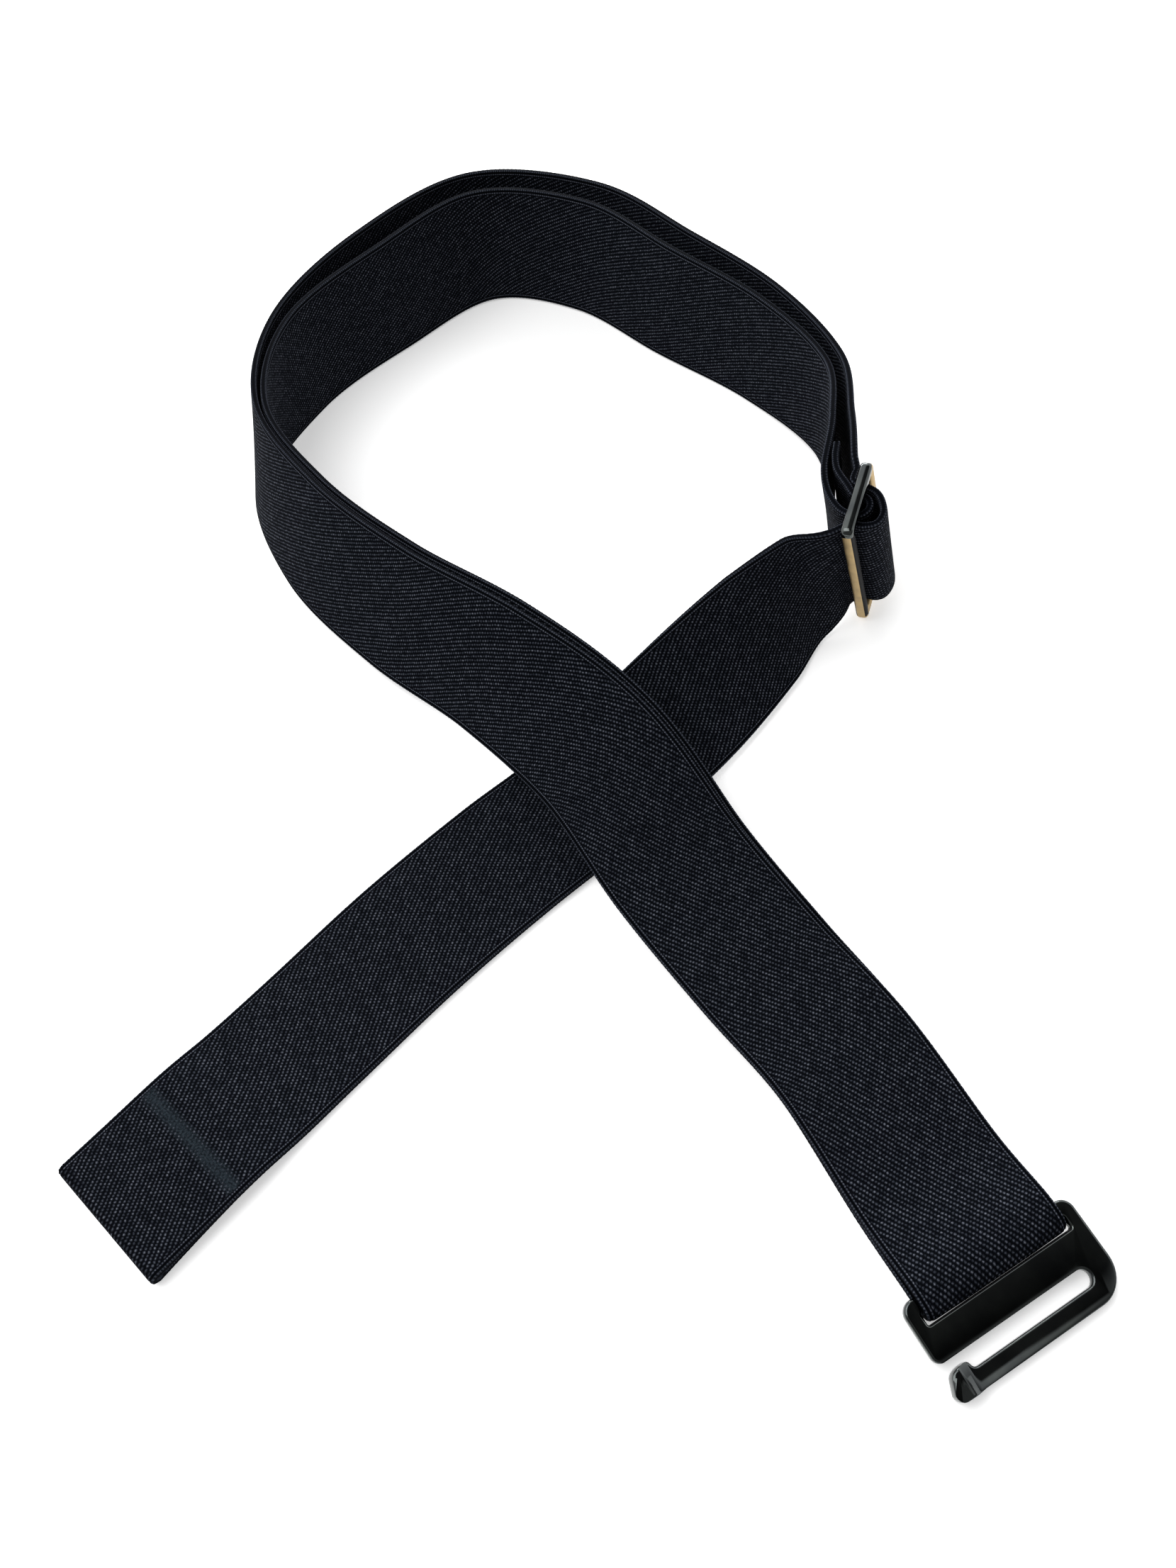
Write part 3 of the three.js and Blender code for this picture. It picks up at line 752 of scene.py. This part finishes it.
def webbing_mesh(step):
    """The webbing as rings round its middle line, with the pattern's own map and the welds' attribute.
    The map is mirrored on the underside, so that both faces show the same hand of twill."""
    rings, length = webbing_rings(step)
    section = webbing_section()
    count = len(section)
    welds = weld_places(length)
    mesh = bmesh.new()
    uv_layer = mesh.loops.layers.uv.new("Weave")
    weld_layer = mesh.verts.layers.float.new("weld")
    rows = []
    for i, (at, place, across, thick) in enumerate(rings):
        away = min(abs(at - weld) for weld in welds)
        pressed = min(1.0, max(0.0, (WELD_LENGTH / 2 + WELD_BLUR - away) / (2 * WELD_BLUR)))
        row = []
        for a, t, _ in section:
            notch = EDGE_NOTCH if i % 2 and abs(a) > NOTCH_FROM else 0.0
            reach = a * WEB_WIDTH / 2 - math.copysign(notch, a)
            point = place + across * reach + thick * (t * WEB_THICK / 2)
            point += Hook.forward * slot_fill(place, thick, a, t)
            vertex = mesh.verts.new((point + SHIFT) * MM)
            vertex[weld_layer] = pressed if abs(a) < WELD_WITHIN else 0.0
            row.append(vertex)
        rows.append(row)
    middle = len(HALF_SECTION) * 2 - 2
    for i in range(len(rings) - 1):
        for k in range(count):
            n = (k + 1) % count
            face = mesh.faces.new((rows[i][k], rows[i][n], rows[i + 1][n], rows[i + 1][k]))
            face.smooth = True
            for loop, r, c in zip(face.loops, (i, i, i + 1, i + 1), (k, n, n, k)):
                across_map = section[c][2]
                if k >= middle and c in (0, middle):
                    across_map = -across_map
                loop[uv_layer].uv = (across_map, rings[r][0])
    for ring, order in ((rows[0], 1), (rows[-1], -1)):
        for k in range(count // 2):
            corners = [ring[k], ring[(count - k) % count], ring[(count - k - 1) % count], ring[k + 1]]
            corners = list(dict.fromkeys(corners))
            if len(corners) > 2:
                mesh.faces.new(corners[::order])
    bmesh.ops.recalc_face_normals(mesh, faces=mesh.faces)
    data = bpy.data.meshes.new("webbing")
    mesh.to_mesh(data)
    mesh.free()
    return data, length


def merged_copy(node, name, materials, angle):
    """A copy of a node's solid with its corners merged and smooth faces."""
    bpy.ops.object.select_all(action="DESELECT")
    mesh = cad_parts[node].data.copy()
    mesh.materials.clear()
    piece = link_mesh(name, mesh, materials)
    bpy.context.view_layer.objects.active = piece
    piece.select_set(True)
    bpy.ops.object.mode_set(mode="EDIT")
    bpy.ops.mesh.select_all(action="SELECT")
    bpy.ops.mesh.remove_doubles(threshold=1e-6)
    bpy.ops.object.mode_set(mode="OBJECT")
    bpy.ops.object.shade_smooth_by_angle(angle=math.radians(angle))
    piece.select_set(False)
    return piece


class BeltProperties(bpy.types.PropertyGroup):
    """The weave's sizes and the lightest colour of each finish"""

    row_pitch: FloatProperty(
        name="Row pitch", description="Distance between twill rows", default=0.84 * MM, unit="LENGTH"
    )
    stitch_pitch: FloatProperty(
        name="Stitch pitch", description="Distance between stitches", default=0.63 * MM, unit="LENGTH"
    )
    twill_angle: FloatProperty(
        name="Twill angle", description="Rows against the webbing", default=math.radians(28), subtype="ANGLE"
    )
    yarn_drift: FloatProperty(
        name="Yarn drift", description="How far the yarns wander", default=0.45 * MM, unit="LENGTH"
    )
    cord_pitch: FloatProperty(
        name="Cord pitch", description="Stitches of the edge's cord", default=0.55 * MM, unit="LENGTH"
    )
    edge_step: FloatProperty(
        name="Edge step", description="Half the pitch of the edge's loops", default=0.5 * MM, unit="LENGTH"
    )
    yarn_painted_highlight: FloatVectorProperty(
        name="Yarn", description="The light on a yarn", default=rgb(0x83868e), subtype="COLOR"
    )
    weld_colour: FloatVectorProperty(
        name="Weld", description="The lightest part of a weld", default=rgb(0x2f383f), subtype="COLOR"
    )
    nickel_colour: FloatVectorProperty(
        name="Nickel", description="The lightest part of the plate", default=rgb(0x505452), subtype="COLOR"
    )
    tan_reflection_colour: FloatVectorProperty(
        name="Tan reflection", description="The lightest tan of the painted reflection", default=rgb(0xbea67b), subtype="COLOR"
    )


class StageProperties(bpy.types.PropertyGroup):
    """The table's colour and the light"""

    floor_colour: FloatVectorProperty(
        name="Floor colour", description="Colour of the table", default=(0.96, 0.96, 0.96), subtype="COLOR"
    )
    floor_glow: FloatProperty(
        name="Floor glow", description="Light from below, as from a light table", default=0.4
    )
    back_light: FloatProperty(
        name="Back light", description="Brightness of the room's back half", default=1.8
    )
    front_light: FloatProperty(
        name="Front light", description="Brightness of the room's front half", default=0.25
    )
    lamp_power: FloatProperty(
        name="Lamp power", description="Power of all lamps, as a share", default=1.0
    )


class BELT_OT_webbing(bpy.types.Operator):
    """Make the one length of woven webbing, from its tail to the loop end"""

    bl_idname = "belt.webbing"
    bl_label = "Webbing"

    def execute(self, context):
        props = context.scene.belt
        data, length = webbing_mesh(props.edge_step / MM)
        piece = link_mesh("webbing", data, [webbing_material(props)])
        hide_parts("elastic_webbing")
        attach(piece, "root")
        return {"FINISHED"}


def slider_finish(place, normal):
    """Which of the slider's materials a face has: 0 the polished plate, 1 the painted tan reflection, 2 the
    painted shade.
    """
    on_long_bar = abs(place.dot(Slider.along)) > SLIDER_PITCH - SLIDER_BAR / 2
    on_back_bar = place.dot(Slider.along) < 0
    unpainted_top = BACK_BAR_TOP if on_back_bar else SLIDER_BAR
    below_top = place.dot(Slider.up) < SLIDER_HIGH / 2 - unpainted_top
    near_foot = place.dot(Slider.up) < TAN_REFLECTION_FOOT - SLIDER_HIGH / 2
    end_face = abs(normal.dot(Slider.along)) > TAN_REFLECTION_FACING
    # Tan painted as a reflection on the foot and on chosen faces of the long bars; painted shade on the near
    # bar's other faces below its top.
    if near_foot or (on_long_bar and below_top and (end_face or on_back_bar)):
        return 1
    return 2 if on_long_bar and below_top else 0


class BELT_OT_slider(bpy.types.Operator):
    """Make the three-bar slider"""

    bl_idname = "belt.slider"
    bl_label = "Slider"

    def execute(self, context):
        props = context.scene.belt
        finishes = [black_nickel(props), tan_reflection_paint(props), painted_shade_metal()]
        piece = merged_copy("slider_frame", "slider", finishes, SMOOTH_SLIDER)
        for face in piece.data.polygons:
            face.material_index = slider_finish(face.center / MM - SHIFT - Slider.centre, face.normal)
        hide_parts("slider_frame")
        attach(piece, "root")
        return {"FINISHED"}


class BELT_OT_hook(bpy.types.Operator):
    """Make the slotted hook plate"""

    bl_idname = "belt.hook"
    bl_label = "Hook plate"

    def execute(self, context):
        finishes = [black_nickel(context.scene.belt), painted_shade_metal()]
        piece = merged_copy("hook_plate", "hook_plate_metal", finishes, SMOOTH_HOOK)
        # The closed slot's front wall, facing back, takes the dark metal with painted shade.
        for face in piece.data.polygons:
            ahead = (face.center / MM - SHIFT - Hook.bar).dot(Hook.forward)
            faces_back = face.normal.dot(Hook.forward) < -HOOK_FACING_BACK
            face.material_index = int(faces_back and HOOK_BAR / 2 < ahead < HOOK_SLOT_AHEAD)
        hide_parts("hook_plate")
        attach(piece, "root")
        return {"FINISHED"}


class BELT_OT_stage(bpy.types.Operator):
    """Make the table, the room's light and the lamps"""

    bl_idname = "belt.stage"
    bl_label = "Stage"

    def execute(self, context):
        stage = context.scene.belt_stage
        bpy.ops.object.select_all(action="DESELECT")
        bpy.ops.mesh.primitive_plane_add(size=TABLE_SIZE, location=(0, 0, 0))
        table = context.object
        table.name = "table"
        # A matte white table top: it takes soft pale shadows, and its glow keeps them light.
        material, tree = new_material("white table")
        shader = add_node(tree, "ShaderNodeBsdfPrincipled", {
            "Base Color": (*stage.floor_colour, 1), "Roughness": 0.9, "Specular IOR Level": 0.1,
            "Emission Color": (1, 1, 1, 1), "Emission Strength": stage.floor_glow,
        })
        add_node(tree, "ShaderNodeOutputMaterial", {0: (shader, 0)})
        table.data.materials.append(material)

        # The room is pale with a dark card overhead, so metal that faces up is dark and its edges are bright.
        world = bpy.data.worlds.new("pale room with a dark card")
        context.scene.world = world
        world.use_nodes = True
        tree = world.node_tree
        tree.nodes.clear()
        direction = add_node(tree, "ShaderNodeTexCoord")
        toward_card = add_node(tree, "ShaderNodeVectorMath", {
            0: (direction, 0), 1: DARK_CARD.normalized(),
        }, operation="DOT_PRODUCT")
        room = add_node(tree, "ShaderNodeValToRGB", {0: (toward_card, 1)}, stops=ROOM_LIGHT)
        split = add_node(tree, "ShaderNodeSeparateXYZ", {0: (direction, 0)})
        strength = add_node(tree, "ShaderNodeMapRange", {
            "Value": (split, 1), "From Min": FRONT_TO_BACK[0], "From Max": FRONT_TO_BACK[1],
            "To Min": stage.front_light, "To Max": stage.back_light,
        })
        light = add_node(tree, "ShaderNodeBackground", {0: (room, 0), 1: (strength, 0)})
        add_node(tree, "ShaderNodeOutputWorld", {0: (light, 0)})

        for name, place, width, depth, power in LAMPS:
            lamp_data = bpy.data.lights.new(name, "AREA")
            lamp_data.shape = "RECTANGLE"
            lamp_data.energy = power * stage.lamp_power
            lamp_data.size = width
            lamp_data.size_y = depth
            lamp = bpy.data.objects.new(name, lamp_data)
            lamp.location = place
            lamp.rotation_euler = (-Vector(place)).to_track_quat("-Z", "Y").to_euler()
            context.scene.collection.objects.link(lamp)
        context.scene.view_settings.view_transform = "Standard"
        return {"FINISHED"}


def make_camera():
    """A camera at the photograph's viewing angle."""
    pitch = math.radians(CAMERA_PITCH)
    roll = math.radians(CAMERA_ROLL)
    forward = Vector((0, math.cos(pitch), -math.sin(pitch)))
    right0 = Vector((1, 0, 0))
    up0 = Vector((0, math.sin(pitch), math.cos(pitch)))
    right = right0 * math.cos(roll) + up0 * math.sin(roll)
    up = up0 * math.cos(roll) - right0 * math.sin(roll)
    data = bpy.data.cameras.new("camera")
    data.sensor_fit = "HORIZONTAL"
    data.sensor_width = 36
    data.lens = CAMERA_LENS
    data.clip_start = 0.01
    camera = bpy.data.objects.new("camera", data)
    axes = Matrix((right, up, -forward)).transposed().to_4x4()
    camera.matrix_world = Matrix.Translation((CAMERA_PLACE + SHIFT) * MM) @ axes
    bpy.context.scene.collection.objects.link(camera)
    bpy.context.scene.camera = camera


class BELT_OT_camera(bpy.types.Operator):
    """Make the camera"""

    bl_idname = "belt.camera"
    bl_label = "Camera"

    def execute(self, context):
        make_camera()
        return {"FINISHED"}


STEPS = ("camera", "stage", "webbing", "slider", "hook")


class BELT_PT_panel(bpy.types.Panel):
    """The belt's pieces and settings"""

    bl_idname = "BELT_PT_panel"
    bl_label = "Elastic stretch belt"
    bl_space_type = "VIEW_3D"
    bl_region_type = "UI"
    bl_category = "Belt"

    def draw(self, context):
        for step in STEPS:
            self.layout.operator(f"belt.{step}")
        for group in (context.scene.belt, context.scene.belt_stage):
            for name in group.__annotations__:
                self.layout.prop(group, name)


CLASSES = (
    BeltProperties,
    StageProperties,
    BELT_OT_camera,
    BELT_OT_stage,
    BELT_OT_webbing,
    BELT_OT_slider,
    BELT_OT_hook,
    BELT_PT_panel,
)


def register():
    """Registers the classes and puts the settings on the scene."""
    for item in CLASSES:
        bpy.utils.register_class(item)
    bpy.types.Scene.belt = PointerProperty(type=BeltProperties)
    bpy.types.Scene.belt_stage = PointerProperty(type=StageProperties)


def unregister():
    """Undoes register."""
    del bpy.types.Scene.belt_stage
    del bpy.types.Scene.belt
    for item in reversed(CLASSES):
        bpy.utils.unregister_class(item)


def main():
    """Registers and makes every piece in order."""
    register()
    for step in STEPS:
        getattr(bpy.ops.belt, step)()


if __name__ == "__main__":
    main()
